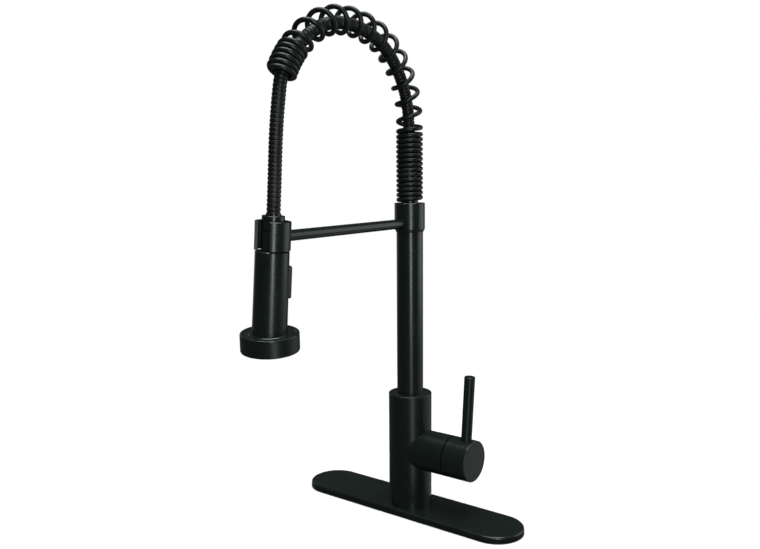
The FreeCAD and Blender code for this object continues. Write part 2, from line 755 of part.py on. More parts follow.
@piece
def head_shell():
    neck_top = SWIVEL_S + 0.3
    barrel = lathe_down([
        (0, neck_top), (NECK_R, neck_top), (NECK_R, SHELL_TOP_S),
        (SHELL_TOP_R - 0.5, SHELL_TOP_S), (SHELL_TOP_R, SHELL_TOP_S + 0.5),
        (SHELL_R, 78.0), (SHELL_R, 84.0), (0, 84.0)])
    disc = moved(lathe_face([
        (0, DISC_H), (17.4, DISC_H), (18.0, DISC_H - 0.5), (21.9, DISC_H - 0.5),
        (22.4, DISC_H), (DISC_R - 0.8, DISC_H), (DISC_R - 0.25, DISC_H - 0.25),
        (DISC_R, DISC_H - 0.8), (DISC_R, 1.2), (DISC_R - 0.35, 0.35), (DISC_R - 1.2, 0),
        (0, 0)]), FACE)
    shell = fillet_edges(barrel.fuse(disc).removeSplitter(), 2.2, on_junction)
    shell = shell.cut(lathe_down([(0, -8), (5.0, -8), (5.0, 6.9), (8.1, 6.9), (8.1, 13.5),
                                  (CORE_IN, 13.5), (CORE_IN, 80.0), (0, 80.0)]))
    cavity = lathe_face([(0, DISC_H - 2.4), (21.8, DISC_H - 2.4), (21.8, 2.6), (22.3, 2.6),
                         (22.3, -2), (0, -2)])
    shell = shell.cut(moved(cavity, FACE)).cut(post(CORE_IN, -85, -78))
    return in_head(shell.cut(button_prism(0.2, 2.7)))


@piece
def head_core():
    core = lathe_down([(0, 9.5), (7.9, 9.5), (7.9, 13.7), (12.4, 13.7), (12.4, 79.4),
                       (0, 79.4)])
    core = core.cut(box(-15, 15, BUTTON_FLOOR, 20, -56.0, -21.5))
    # seat of the swivel stem
    core = core.cut(lathe_down([(0, 9), (5.0, 9), (5.0, 16.0), (0, 16.0)]))
    # check valve chamber and main channel
    core = core.cut(lathe_down([(0, 15), (3.2, 15), (3.2, 17.0), (5.6, 17.0), (5.6, 28.0),
                                (3.0, 28.0), (3.0, 80.0), (0, 80.0)]))
    core = core.cut(rod_y(3.1, -7.2, 12.0, DIVERTER_Z))
    core = core.cut([post(1.4, -80, -34.5, 7.6), rod(1.4, (7.6, 0, -36.0), (0, 0, -36.0))])
    return in_head(core.cut(rod_y(1.0, -20, -6, DIVERTER_Z)))


@piece
def check_valve_seat():
    return in_head(lathe_down([(2.4, 17.05), (5.5, 17.05), (5.5, 18.9), (3.4, 18.9),
                               (2.4, 18.2)]))


@piece
def check_valve_poppet():
    return in_head(lathe_down([(0, 18.35), (2.2, 18.35), (3.9, 19.5), (3.9, 20.3),
                               (1.0, 20.3), (1.0, 26.4), (0, 26.4)]))


@piece
def check_valve_guide():
    guide = lathe_down([(1.05, 25.0), (5.5, 25.0), (5.5, 27.8), (4.6, 27.8), (4.6, 26.2),
                        (1.05, 26.2)])
    for k in range(4):
        guide = guide.cut(post(0.9, -28, -24, *polar(3.0, 90 * k)))
    return in_head(guide)


@piece
def check_valve_spring():
    return in_head(coil(radius=1.75, wire=0.22, turns=4, z0=-24.7, z1=-20.6))


@piece
def spray_button():
    """Curved panel with a web behind it and retaining lips at both ends."""
    def drum(radius, grow, inner=0):
        top, bottom = BUTTON_TOP_S - grow, BUTTON_BOTTOM_S + grow
        return lathe_down([(inner, top), (radius, top), (radius, bottom), (inner, bottom)])

    top, bottom = -BUTTON_TOP_S, -BUTTON_BOTTOM_S
    panel = drum(BUTTON_R, 0, 13.6).common(button_prism(0, 2.5))
    panel = fillet_edges(panel, 0.7, lambda e: all(
        abs(math.hypot(p.x, p.y) - BUTTON_R) < 1e-3 for p in edge_points(e, 2)))
    lips = drum(12.45, 1.6).common(box(-5.5, 5.5, 10.3, 15, bottom - 1.6, top + 1.6))
    lips = lips.cut(box(-6, 6, 10, 11.3, bottom + 2.0, top - 2.0))
    web = drum(14.0, -0.5).common(box(-5.0, 5.0, 11.3, 15, bottom, top))
    panel = panel.fuse([lips, web]).removeSplitter()
    return in_head(panel.cut(rod_y(1.62, 8, 13.4, DIVERTER_Z)))


@piece
def diverter_plunger():
    """Rod with two grooved lands."""
    plunger = rod_y(1.6, -4.6, 13.3, DIVERTER_Z)
    for y in DIVERTER_RING_Y:
        groove = rod_y(3.5, y - 0.6, y + 0.6, DIVERTER_Z)
        groove = groove.cut(rod_y(1.9, y - 1.6, y + 1.6, DIVERTER_Z))
        plunger = plunger.fuse(rod_y(2.7, y - 1.3, y + 1.3, DIVERTER_Z)).cut(groove)
    return in_head(plunger.removeSplitter())


@piece
def diverter_o_rings():
    return Part.makeCompound([in_head(Part.makeTorus(2.5, 0.56, V(0, y, DIVERTER_Z), Y))
                              for y in DIVERTER_RING_Y])


@piece
def button_spring():
    spring = coil(radius=3.6, wire=0.3, turns=3.5, z0=0, z1=3.6)
    foot = V(0, BUTTON_FLOOR + 0.35, DIVERTER_Z)
    return in_head(moved(spring, FreeCAD.Placement(foot, FreeCAD.Rotation(X, -90))))


# ---------------------------------------------------------------- spray face
# two rings of nozzles: (count, radius)
NOZZLES = [polar(radius, 360 * k / count)
           for count, radius in ((14, 11.8), (22, 17.2)) for k in range(count)]


def at_nozzles(outline):
    return [lathe_face(outline).translated(V(x, y, 0)) for x, y in NOZZLES]


@piece
def face_manifold():
    top = DISC_H - 2.55
    manifold = lathe_face([(0, top), (21.7, top), (21.7, 4.6), (20.2, 4.6), (20.2, 6.6),
                           (8.6, 6.6), (8.6, 4.6), (0, 4.6)])
    manifold = manifold.cut(lathe_down([
        (0, 70), (3.0, 70), (3.0, DISC_BOTTOM_S - 8), (7.3, DISC_BOTTOM_S - 8), (7.3, 100),
        (0, 100)]))
    manifold = manifold.cut([post(1.4, -DISC_BOTTOM_S, -70, x) for x in (11.5, -11.5)])
    # room for the core, which is not tilted
    return in_face(manifold.cut(moved(post(12.9, -78.55, -70), FACE.inverse())))


@piece
def nozzle_mat():
    mat = lathe_face([(8.7, 4.5), (21.6, 4.5), (21.6, 3.2), (8.7, 3.2)])
    mat = mat.fuse(at_nozzles([(0, 4.0), (1.35, 4.0), (1.2, 0.6), (0.85, -0.1), (0, -0.1)]))
    return in_face(mat.cut([post(0.45, -DISC_BOTTOM_S - 2, -DISC_BOTTOM_S + 6, x, y)
                            for x, y in NOZZLES]))


@piece
def nozzle_plate():
    plate = lathe_face([(7.5, 3.1), (21.6, 3.1), (21.6, 2.55), (22.2, 2.55), (22.2, 0.5),
                        (21.9, 0.2), (9.0, 0.2), (8.2, 0.5), (7.5, 0.5)])
    return in_face(plate.cut(at_nozzles([(0, 4.2), (1.45, 4.2), (1.3, 0.6), (1.3, -0.3),
                                         (0, -0.3)])))


@piece
def aerator_shell():
    return in_face(lathe_face([(6.2, 7.8), (7.2, 7.8), (7.2, 0.6), (6.9, 0.3), (6.2, 0.3)]))


@piece
def aerator_grid():
    grid = lathe_face([(0, 3.6), (6.1, 3.6), (6.1, 1.2), (0, 1.2)])
    pitch, row = 1.6, 1.39      # staggered rows
    centres = [(pitch * (i + 0.5 * (j % 2)), row * j)
               for i in range(-4, 5) for j in range(-3, 4)]
    return in_face(grid.cut([post(0.62, -DISC_BOTTOM_S, -DISC_BOTTOM_S + 5, x, y)
                             for x, y in centres if math.hypot(x, y) < 5.2]))


# ---------------------------------------------------------------- one STEP file per piece
os.makedirs("parts", exist_ok=True)
for build in PIECES:
    solids = build().Solids
    shape = solids[0] if len(solids) == 1 else Part.makeCompound(solids)
    shape.exportStep("parts/%s.step" % build.__name__)
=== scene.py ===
# A spring-arch kitchen tap with a pull-down spray head, in metres with +Z up. The column stands
# on the Z axis, the arch bends over in the YZ plane towards -Y, the spray head hangs near
# y = -0.195 and the barrel and knob lie towards +X. The CAD pieces get materials, and the
# springs and the hose are modelled anew.
import json
import math
import bpy
import numpy as np
from mathutils import Matrix, Vector


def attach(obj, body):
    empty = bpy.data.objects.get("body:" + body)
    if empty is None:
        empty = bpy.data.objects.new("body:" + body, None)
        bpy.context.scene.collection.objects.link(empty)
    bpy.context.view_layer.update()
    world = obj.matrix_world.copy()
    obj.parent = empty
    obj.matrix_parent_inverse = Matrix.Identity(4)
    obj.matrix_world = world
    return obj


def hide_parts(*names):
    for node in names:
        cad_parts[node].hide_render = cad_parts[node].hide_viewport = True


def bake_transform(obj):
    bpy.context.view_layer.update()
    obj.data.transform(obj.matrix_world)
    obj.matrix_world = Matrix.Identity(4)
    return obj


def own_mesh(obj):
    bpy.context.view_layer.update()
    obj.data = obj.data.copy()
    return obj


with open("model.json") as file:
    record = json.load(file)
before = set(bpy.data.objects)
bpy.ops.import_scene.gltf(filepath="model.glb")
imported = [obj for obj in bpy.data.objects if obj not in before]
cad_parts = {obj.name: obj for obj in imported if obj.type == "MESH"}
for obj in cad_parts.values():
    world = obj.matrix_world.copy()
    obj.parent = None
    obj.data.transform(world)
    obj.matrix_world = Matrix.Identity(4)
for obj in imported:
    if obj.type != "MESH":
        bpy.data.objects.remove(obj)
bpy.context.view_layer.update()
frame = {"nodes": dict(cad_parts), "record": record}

scene = bpy.context.scene
MM = 0.001


# ------------------------------------------------------------------ shader helpers
def is_socket(value):
    return isinstance(value, bpy.types.NodeSocket)


def node(tree, kind, inputs=None, **settings):
    """Adds a node. Sockets among the inputs are linked and other values are set."""
    new = tree.nodes.new(kind)
    for key, value in settings.items():
        setattr(new, key, value)
    for key, value in (inputs or {}).items():
        if is_socket(value):
            tree.links.new(value, new.inputs[key])
        else:
            new.inputs[key].default_value = value
    return new


def new_material(name):
    """An empty material, its node tree and its output node."""
    material = bpy.data.materials.new(name)
    material.use_nodes = True
    tree = material.node_tree
    tree.nodes.clear()
    return material, tree, node(tree, "ShaderNodeOutputMaterial")


def maths(tree, operation, *operands):
    inputs = dict(enumerate(operands))
    return node(tree, "ShaderNodeMath", inputs, operation=operation).outputs[0]


def vector_maths(tree, operation, *operands):
    inputs = dict(enumerate(operands))
    new = node(tree, "ShaderNodeVectorMath", inputs, operation=operation)
    gives_number = operation in ("DOT_PRODUCT", "LENGTH", "DISTANCE")
    return new.outputs["Value" if gives_number else "Vector"]


def ramp(tree, source, over, to):
    """Maps the source from the range `over` to the range `to`."""
    inputs = {"Value": source, "From Min": over[0], "From Max": over[1],
              "To Min": to[0], "To Max": to[1]}
    return node(tree, "ShaderNodeMapRange", inputs).outputs["Result"]


def noise(tree, coord, scale, detail, rough=0.5, stretch=None):
    if stretch is not None:
        mapping = node(tree, "ShaderNodeMapping", {"Vector": coord, "Scale": stretch})
        coord = mapping.outputs["Vector"]
    inputs = {"Vector": coord, "Scale": scale, "Detail": detail, "Roughness": rough}
    return node(tree, "ShaderNodeTexNoise", inputs).outputs["Fac"]


def mix_colour(tree, factor, first, second):
    """Mixes two colours, each a socket or an RGB triple."""
    mix = tree.nodes.new("ShaderNodeMix")
    mix.data_type = "RGBA"
    tree.links.new(factor, mix.inputs[0])
    for index, colour in ((6, first), (7, second)):
        if is_socket(colour):
            tree.links.new(colour, mix.inputs[index])
        else:
            mix.inputs[index].default_value = (*colour, 1)
    return mix.outputs[2]


def bump(tree, height, strength, distance, **below):
    inputs = {"Height": height, "Strength": strength, "Distance": distance, **below}
    return node(tree, "ShaderNodeBump", inputs).outputs["Normal"]


def object_coord(tree):
    return node(tree, "ShaderNodeTexCoord").outputs["Object"]


def surface_normal(tree):
    return node(tree, "ShaderNodeNewGeometry").outputs["Normal"]


# ------------------------------------------------------------------ surface finishes
EDGE_RADIUS = 0.0004        # how far wear reaches from an edge
WEAR_ROUGHNESS = -0.10      # change in roughness where fully worn
DUST_COLOUR = (0.12, 0.12, 0.11)
GRAIN_DEPTH = 0.00006
WAVE_SCALE = 0.22           # the broad ripple against the fine grain: scale,
WAVE_STRENGTH = 0.6         # strength
WAVE_DEPTH = 3              # and depth

# The narrow gap between the barrel and the knob is a shell about the pivot. Its walls get
# painted shade: a near-black colour and little specular stand in for the shade inside the
# groove.
PIVOT = (0.032, 0.0, 0.0662)
RIM_HEIGHT = 20.7
BARREL_RADIUS = math.hypot(18.4, RIM_HEIGHT) * MM
KNOB_RADIUS = math.hypot(19.6, RIM_HEIGHT) * MM
GAP_MARGIN = 0.0002
GAP_FROM_X = 0.040
# painted shade: colour and specular of the gap walls, standing in for shade in the groove
GAP_SHADE_COLOUR = (0.0006, 0.0008, 0.0008)
GAP_SHADE_SPECULAR = 0.02


def wear_mask(tree, coord, wear):
    """Patchy mask on edges that bend within EDGE_RADIUS."""
    bevel = node(tree, "ShaderNodeBevel", {"Radius": EDGE_RADIUS}, samples=6)
    bend = vector_maths(tree, "DOT_PRODUCT", bevel.outputs["Normal"], surface_normal(tree))
    edge = ramp(tree, bend, over=(0.98, 0.75), to=(0.0, 1.0))
    patch = noise(tree, coord, scale=320.0, detail=5.0, rough=0.65)
    return maths(tree, "MULTIPLY", edge,
                 ramp(tree, patch, over=(0.42, 0.72), to=(0.15 * wear, wear)))


def dust_mask(tree, coord, dust):
    """Specks on faces that look upwards."""
    speck = noise(tree, coord, scale=900.0, detail=6.0, rough=0.7)
    normal = node(tree, "ShaderNodeSeparateXYZ", {0: surface_normal(tree)})
    return maths(tree, "MULTIPLY",
                 ramp(tree, normal.outputs["Z"], over=(0.3, 1.0), to=(0.0, 1.0)),
                 ramp(tree, speck, over=(0.55, 0.8), to=(0.0, dust)))


def gap_shade_mask(tree, coord):
    """1 on the walls of the gap, whose normals lie along the radius from the pivot: where the
    painted shade goes.
    """
    low, high = BARREL_RADIUS - GAP_MARGIN, KNOB_RADIUS + GAP_MARGIN
    distance = vector_maths(tree, "DISTANCE", coord, PIVOT)
    in_shell = maths(tree, "COMPARE", distance, (low + high) / 2, (high - low) / 2)
    place = node(tree, "ShaderNodeSeparateXYZ", {0: coord})
    past = maths(tree, "GREATER_THAN", place.outputs["X"], GAP_FROM_X)
    radial = vector_maths(tree, "NORMALIZE", vector_maths(tree, "SUBTRACT", coord, PIVOT))
    alignment = vector_maths(tree, "DOT_PRODUCT", radial, surface_normal(tree))
    least_alignment = 0.97
    facing = maths(tree, "GREATER_THAN", maths(tree, "ABSOLUTE", alignment), least_alignment)
    return maths(tree, "MULTIPLY", maths(tree, "MULTIPLY", in_shell, past), facing)


def finish(name, dark, light, rough, rough_var=0.05, metallic=0.0, specular=0.5,
           tint=(1, 1, 1), grain=1800.0, grain_strength=0.06, stretch=None, wear=0.0,
           wear_colour=None, dust=0.0, sheen=0.0, subsurface=0.0, gap=False):
    """A blotchy, grained surface, with optional edge wear, dust, and painted shade in the gap.
    """
    material, tree, output = new_material(name)
    coord = object_coord(tree)
    blotch = noise(tree, coord, scale=45.0, detail=4.0, rough=0.55)
    fine = noise(tree, coord, scale=grain, detail=2.0, stretch=stretch)
    colour = mix_colour(tree, ramp(tree, blotch, over=(0.32, 0.68), to=(0.0, 1.0)), dark, light)
    fine_var = rough_var * 0.6
    roughness = maths(
        tree, "ADD",
        ramp(tree, blotch, over=(0.3, 0.7), to=(rough - rough_var, rough + rough_var)),
        ramp(tree, fine, over=(0.3, 0.7), to=(-fine_var, fine_var)))
    if wear > 0:
        worn = wear_mask(tree, coord, wear)
        colour = mix_colour(tree, worn, colour, wear_colour)
        roughness = maths(tree, "MULTIPLY_ADD", worn, WEAR_ROUGHNESS, roughness)
    if dust > 0:
        colour = mix_colour(tree, dust_mask(tree, coord, dust), colour, DUST_COLOUR)
    # painted shade: the gap walls are mixed to a near-black colour
    if gap:
        gap_shade = gap_shade_mask(tree, coord)
        colour = mix_colour(tree, gap_shade, colour, GAP_SHADE_COLOUR)

    wave = noise(tree, coord, scale=grain * WAVE_SCALE, detail=2.0, stretch=stretch)
    grained = bump(tree, fine, grain_strength, GRAIN_DEPTH)
    normal = bump(tree, wave, grain_strength * WAVE_STRENGTH, GRAIN_DEPTH * WAVE_DEPTH,
                  Normal=grained)
    shader = node(tree, "ShaderNodeBsdfPrincipled", {
        "Base Color": colour,
        "Roughness": roughness,
        "Metallic": metallic,
        "Specular IOR Level": specular,
        "Specular Tint": (*tint, 1),
        "Coat Roughness": 0.2,
        "Sheen Weight": sheen,
        "Normal": normal,
    })
    # painted shade: the gap walls also lose most of their specular
    if gap:
        gap_shade_specular = ramp(tree, gap_shade, over=(0.0, 1.0), to=(specular, GAP_SHADE_SPECULAR))
        tree.links.new(gap_shade_specular, shader.inputs["Specular IOR Level"])
    if subsurface:
        shader.inputs["Subsurface Weight"].default_value = subsurface
        shader.inputs["Subsurface Scale"].default_value = 0.002
    tree.links.new(shader.outputs[0], output.inputs[0])
    return material


COATING = dict(dark=(0.0042, 0.0074, 0.0066), light=(0.0054, 0.0090, 0.0081), specular=0.36,
               tint=(0.86, 1.0, 0.96), wear=0.35, wear_colour=(0.011, 0.014, 0.0135))
coat = finish("satin_black_coating", rough=0.27, rough_var=0.02, dust=0.10, **COATING)
# gap=True paints shade into the barrel-knob gap
coat_body = finish("satin_black_coating_body", rough=0.27, rough_var=0.02, dust=0.12,
                   gap=True, **COATING)
coat_column = finish("satin_black_coating_drawn_tube", rough=0.25, rough_var=0.03,
                     stretch=(1, 1, 0.12), **COATING)

material_of_slot = {
    "satin_black": coat,
    "black_spring_steel": finish(
        "black_spring_wire", dark=(0.0040, 0.0068, 0.0062), light=(0.0056, 0.0088, 0.0081),
        rough=0.33, rough_var=0.04, specular=0.22, grain=2600.0, grain_strength=0.08),
    "black_hose_cover": finish(
        "black_hose_cover", dark=(0.0040, 0.0064, 0.0058), light=(0.0062, 0.0090, 0.0083),
        rough=0.38, rough_var=0.06, specular=0.22, grain=2200.0, grain_strength=0.12),
    "black_button": finish(
        "black_button_plastic", dark=(0.0046, 0.0062, 0.0060), light=(0.0066, 0.0085, 0.0082),
        rough=0.33, specular=0.36, grain=3200.0, grain_strength=0.12,
        wear=0.5, wear_colour=(0.022, 0.025, 0.025)),
    "epdm_rubber": finish(
        "black_rubber", dark=(0.012, 0.012, 0.012), light=(0.02, 0.02, 0.02),
        rough=0.62, specular=0.3, grain=2400.0, grain_strength=0.3, sheen=0.05),
    "silicone_nozzles": finish(
        "grey_silicone", dark=(0.028, 0.030, 0.031), light=(0.04, 0.042, 0.043),
        rough=0.5, specular=0.35, grain=2400.0, grain_strength=0.12, subsurface=0.1),
    "white_pex": finish(
        "white_hose_tube", dark=(0.62, 0.62, 0.58), light=(0.74, 0.74, 0.70),
        rough=0.4, grain=900.0, grain_strength=0.06, subsurface=0.3),
    "steel_parts": finish(
        "turned_stainless_steel", dark=(0.42, 0.42, 0.42), light=(0.58, 0.58, 0.57),
        rough=0.3, metallic=1.0, grain=2600.0, grain_strength=0.14, stretch=(1, 1, 8),
        wear=0.5, wear_colour=(0.75, 0.75, 0.74)),
    "brass_parts": finish(
        "machined_brass", dark=(0.46, 0.31, 0.12), light=(0.62, 0.45, 0.20),
        rough=0.32, metallic=1.0, grain=2200.0, grain_strength=0.14, stretch=(1, 1, 10),
        wear=0.5, wear_colour=(0.8, 0.66, 0.38)),
    "ceramic_discs": finish(
        "lapped_ceramic", dark=(0.66, 0.64, 0.58), light=(0.76, 0.74, 0.69),
        rough=0.16, grain=3000.0, grain_strength=0.02),
    "white_plastic": finish(
        "white_acetal", dark=(0.60, 0.60, 0.57), light=(0.71, 0.71, 0.68),
        rough=0.42, grain=2600.0, grain_strength=0.1, subsurface=0.15),
    "black_plastic": finish(
        "black_moulded_plastic", dark=(0.010, 0.011, 0.011), light=(0.016, 0.017, 0.017),
        rough=0.46, specular=0.4, grain=2800.0, grain_strength=0.2),
    "grey_plastic": finish(
        "grey_moulded_plastic", dark=(0.16, 0.165, 0.17), light=(0.22, 0.225, 0.23),
        rough=0.45, grain=2800.0, grain_strength=0.15),
}
# pieces whose finish differs from, or is fixed regardless of, their slot
material_of_piece = {
    "column_tube": coat_column,
    "valve_body": coat_body,
    "handle_knob": coat_body,
    "spring_fitting": coat,
    "column_bushing": material_of_slot["black_plastic"],
}
slot_of = {part["node"]: part["material_slot"] for part in frame["record"]["subparts"]}
for name, piece in frame["nodes"].items():
    material = material_of_piece.get(name) or material_of_slot[slot_of[name]]
    piece.data.materials.clear()
    piece.data.materials.append(material)


# ------------------------------------------------------------------ mesh helpers, in mm
CAP_STEPS = 5


def replacement(name, cad_name, slot, verts, faces):
    """A smooth object, from vertices in mm, that stands in for a CAD piece."""
    mesh = bpy.data.meshes.new(name)
    mesh.from_pydata([tuple(vert) for vert in verts * MM], [], faces)
    mesh.validate()
    mesh.update()
    piece = bpy.data.objects.new(name, mesh)
    scene.collection.objects.link(piece)
    mesh.materials.append(material_of_slot[slot])
    for face in mesh.polygons:
        face.use_smooth = True
    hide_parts(cad_name)
    return piece


def square_to(tangent, vector):
    """The unit vector square to the tangent and nearest to the given one."""
    flat = vector - tangent * (vector @ tangent)
    return flat / np.linalg.norm(flat)


def path_frames(path):
    """Tangents, and pairs of normals that don't twist, along an (n, 3) path."""
    steps = np.gradient(path, axis=0)
    tangents = steps / np.linalg.norm(steps, axis=1)[:, None]
    guide = np.array([1.0, 0.0, 0.0])
    if abs(tangents[0] @ guide) > 0.9:
        guide = np.array([0.0, 1.0, 0.0])
    normals = np.zeros_like(path)
    for i, tangent in enumerate(tangents):
        guide = normals[i] = square_to(tangent, guide)
    return tangents, normals, np.cross(tangents, normals)


def tube_mesh(path, radius, segments, cap=0.0, hollow=None):
    """Vertices and faces of a round tube.

    radius is one number or one per point, cap rounds the ends over that length and hollow
    is the radius of the bore."""
    radius = np.broadcast_to(np.asarray(radius, float), len(path))
    tangents, normals, binormals = path_frames(path)
    angles = np.linspace(0, 2 * math.pi, segments, endpoint=False)
    cos, sin = np.cos(angles)[:, None], np.sin(angles)[:, None]
    rows = []

    def add_row(centre, i, row_radius):
        rows.append(centre + row_radius * (cos * normals[i] + sin * binormals[i]))

    def add_cap_row(end, outward, k):
        angle = math.pi / 2 * k / CAP_STEPS
        add_row(path[end] + outward * tangents[end] * cap * math.cos(angle), end,
                radius[end] - cap + cap * math.sin(angle))

    if cap > 0:
        for k in range(1, CAP_STEPS):
            add_cap_row(0, -1, k)
    for i, point in enumerate(path):
        add_row(point, i, radius[i])
    if cap > 0:
        for k in range(CAP_STEPS - 1, 0, -1):
            add_cap_row(-1, 1, k)
    if hollow is not None:
        for i in range(len(path) - 1, -1, -1):
            add_row(path[i], i, hollow)

    count = len(rows)
    faces = []
    # a hollow tube's last row, on the bore, joins back to the first
    for i in range(count - 1 if hollow is None else count):
        here, there = i * segments, (i + 1) % count * segments
        for k in range(segments):
            after = (k + 1) % segments
            faces.append((here + k, here + after, there + after, there + k))
    if hollow is None:
        faces.append(tuple(range(segments - 1, -1, -1)))
        faces.append(tuple((count - 1) * segments + k for k in range(segments)))
    return np.concatenate(rows), faces


class Spline:
    """Natural cubic through values at knots."""

    def __init__(self, knots, values):
        count = len(knots)
        gap = np.diff(knots)
        rise = np.diff(values) / gap
        system, target = np.eye(count), np.zeros(count)
        for i in range(1, count - 1):
            system[i, i - 1:i + 2] = gap[i - 1], 2 * (gap[i - 1] + gap[i]), gap[i]
            target[i] = 6 * (rise[i] - rise[i - 1])
        self.bend = np.linalg.solve(system, target)     # second derivative at each knot
        self.knots, self.values = knots, values

    def span(self, x):
        """Span index, its length, and the weights of its two ends."""
        knots = self.knots
        i = np.clip(np.searchsorted(knots, x, side="right") - 1, 0, len(knots) - 2)
        gap = knots[i + 1] - knots[i]
        return i, gap, (knots[i + 1] - x) / gap, (x - knots[i]) / gap

    def at(self, x):
        i, gap, p, q = self.span(x)
        bend, values = self.bend, self.values
        curve = (p ** 3 - p) * bend[i] + (q ** 3 - q) * bend[i + 1]
        return p * values[i] + q * values[i + 1] + curve * gap * gap / 6

    def slope(self, x):
        i, gap, p, q = self.span(x)
        bend, values = self.bend, self.values
        curve = -(3 * p * p - 1) * bend[i] + (3 * q * q - 1) * bend[i + 1]
        return (values[i + 1] - values[i]) / gap + curve * gap / 6


def splines_through(points):
    """The length along the points, and a spline by that length for each column."""
    steps = np.linalg.norm(np.diff(points, axis=0), axis=1)
    distance = np.concatenate([[0], np.cumsum(steps)])
    return distance[-1], [Spline(distance, column) for column in points.T]


# ------------------------------------------------------------------ arch, in mm
# centre line of the spring: y, z
ARCH = np.array([
    (0, 300), (0, 345), (0.0, 385.1), (-2.6, 419.1), (-17.9, 449.6), (-42.7, 471.7),
    (-73.2, 482.7), (-104.3, 484.7), (-133.1, 477.6), (-157.1, 461.7), (-171.3, 447.3),
    (-180.5, 432.6), (-184.5, 424.0)], float)
arch_y, arch_z = splines_through(ARCH)[1]


def arch(distance):
    """y, z and the normal towards the outside of the bend, at a distance along the arch."""
    slope_y, slope_z = arch_y.slope(distance), arch_z.slope(distance)
    size = np.hypot(slope_y, slope_z)
    return arch_y.at(distance), arch_z.at(distance), slope_z / size, -slope_y / size


WIRE_RADIUS = 2.25
COIL_RADIUS = 11.15
STEPS_PER_TURN = 48
FIRST_TURN, FIRST_MEASURED_TURN, LAST_TURN = -15.82, -3, 17
CLOSE_PITCH = 4.79      # between the first turn and the first measured one
# distance along the arch at each whole turn from FIRST_MEASURED_TURN to LAST_TURN
MEASURED = [
    83.65, 88.6, 95.6, 112.6, 130.0, 147.8, 165.4, 183.3, 201.6, 220.4, 239.7,
    259.1, 277.2, 296.4, 314.0, 322.3, 327.2, 332.0, 336.8, 341.6, 346.4]
TURNS = np.array([FIRST_TURN, *range(FIRST_MEASURED_TURN, LAST_TURN + 1)], float)
first_distance = MEASURED[0] - (FIRST_MEASURED_TURN - FIRST_TURN) * CLOSE_PITCH
TURN_DISTANCES = np.array([first_distance] + MEASURED)


def turn_distance(turn):
    """Distance along the arch at a turn: a cubic with harmonic-mean slopes at the knots."""
    gaps = np.diff(TURNS)
    rise = np.diff(TURN_DISTANCES) / gaps
    means = 2 * rise[:-1] * rise[1:] / (rise[:-1] + rise[1:])
    slope = np.concatenate([[rise[0]], means, [rise[-1]]])
    i = np.clip(np.searchsorted(TURNS, turn, side="right") - 1, 0, len(TURNS) - 2)
    gap = gaps[i]
    t = (turn - TURNS[i]) / gap
    return ((2 * t ** 3 - 3 * t ** 2 + 1) * TURN_DISTANCES[i]
            + (t ** 3 - 2 * t ** 2 + t) * gap * slope[i]
            + (-2 * t ** 3 + 3 * t ** 2) * TURN_DISTANCES[i + 1]
            + (t ** 3 - t ** 2) * gap * slope[i + 1])


def arch_spring():
    turns = np.linspace(FIRST_TURN, LAST_TURN, int((LAST_TURN - FIRST_TURN) * STEPS_PER_TURN))
    y, z, normal_y, normal_z = arch(turn_distance(turns))
    angle = 2 * math.pi * turns
    out = COIL_RADIUS * np.cos(angle)
    path = np.stack([-COIL_RADIUS * np.sin(angle), y + out * normal_y, z + out * normal_z], 1)
    return tube_mesh(path, WIRE_RADIUS, segments=20, cap=0.5)


# The spray axis leans from the vertical as in the CAD.
LEAN_Y, LEAN_X = math.radians(1.0), math.radians(3.6)
DOWN = Vector((-math.sin(LEAN_X), -math.sin(LEAN_Y) * math.cos(LEAN_X),
               -math.cos(LEAN_Y) * math.cos(LEAN_X)))
HEAD = Vector((0, -194.56, 299.67))

# hose inside the spring: distance along the arch, offset to the inside of the bend
HOSE_IN_ARCH = np.array([
    (43.2, 0.0), (60, 0.0), (80, 0.3), (100, 1.2), (120, 2.0), (145, 2.3), (170, 2.3),
    (195, 2.3), (220, 2.3), (245, 2.3), (270, 2.3), (292, 2.2), (312, 1.8), (326, 1.1)])
# hose from the arch down to the head: x, y, z
HOSE_DROP = [
    (0, -179.9, 431.6), (0, -182.9, 419.2), (0.1, -186.7, 395.0),
    (0.35, -189.4, 370.8), (0.8, -191.6, 346.5)]
HOSE_ON_AXIS = (-30.0, -20.0, -12.2)    # last points, along the spray axis from HEAD

HOSE_RADIUS, HOSE_BORE = 5.85, 4.68
TUBE_RADIUS, TUBE_BORE = 4.59, 3.2
TUBE_POINTS = 160
RIB_PITCH, RIB_DEPTH = 3.6, 0.85
RIB_STEPS = 12
RIB_POWER = 2.6         # a higher power squares the rib
END_LENGTH = 9.0        # the ribs are trimmed over this length at the head
END_TRIM = 0.02

along, inset = HOSE_IN_ARCH.T
y, z, normal_y, normal_z = arch(along)
hose_length, hose_splines = splines_through(np.concatenate([
    np.stack([np.zeros_like(y), y - inset * normal_y, z - inset * normal_z], 1),
    HOSE_DROP,
    [tuple(HEAD + DOWN * distance) for distance in HOSE_ON_AXIS]]))


def hose_path(distance):
    return np.stack([spline.at(distance) for spline in hose_splines], 1)


def hose_cover():
    distance = np.arange(0, hose_length, RIB_PITCH / RIB_STEPS)
    distance[-1] = hose_length
    phase = (distance / RIB_PITCH) % 1.0
    rib = np.sqrt(np.clip(1 - np.abs(2 * phase - 1) ** RIB_POWER, 0, 1))
    radius = HOSE_RADIUS - RIB_DEPTH + RIB_DEPTH * rib
    at_end = distance > hose_length - END_LENGTH
    radius[at_end] = np.minimum(radius[at_end], HOSE_RADIUS - END_TRIM)
    return tube_mesh(hose_path(distance), radius, segments=32, hollow=HOSE_BORE)


def hose_tube():
    path = hose_path(np.linspace(0, hose_length, TUBE_POINTS))
    return tube_mesh(path, TUBE_RADIUS, segments=24, hollow=TUBE_BORE)


for name, cad_name, slot, build in (
        ("arch_spring_coil", "arch_spring", "black_spring_steel", arch_spring),
        ("ribbed_hose_cover", "hose_cover", "black_hose_cover", hose_cover),
        ("hose_inner_tube", "hose_core", "white_pex", hose_tube)):
    piece = replacement(name, cad_name, slot, *build())
    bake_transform(piece)


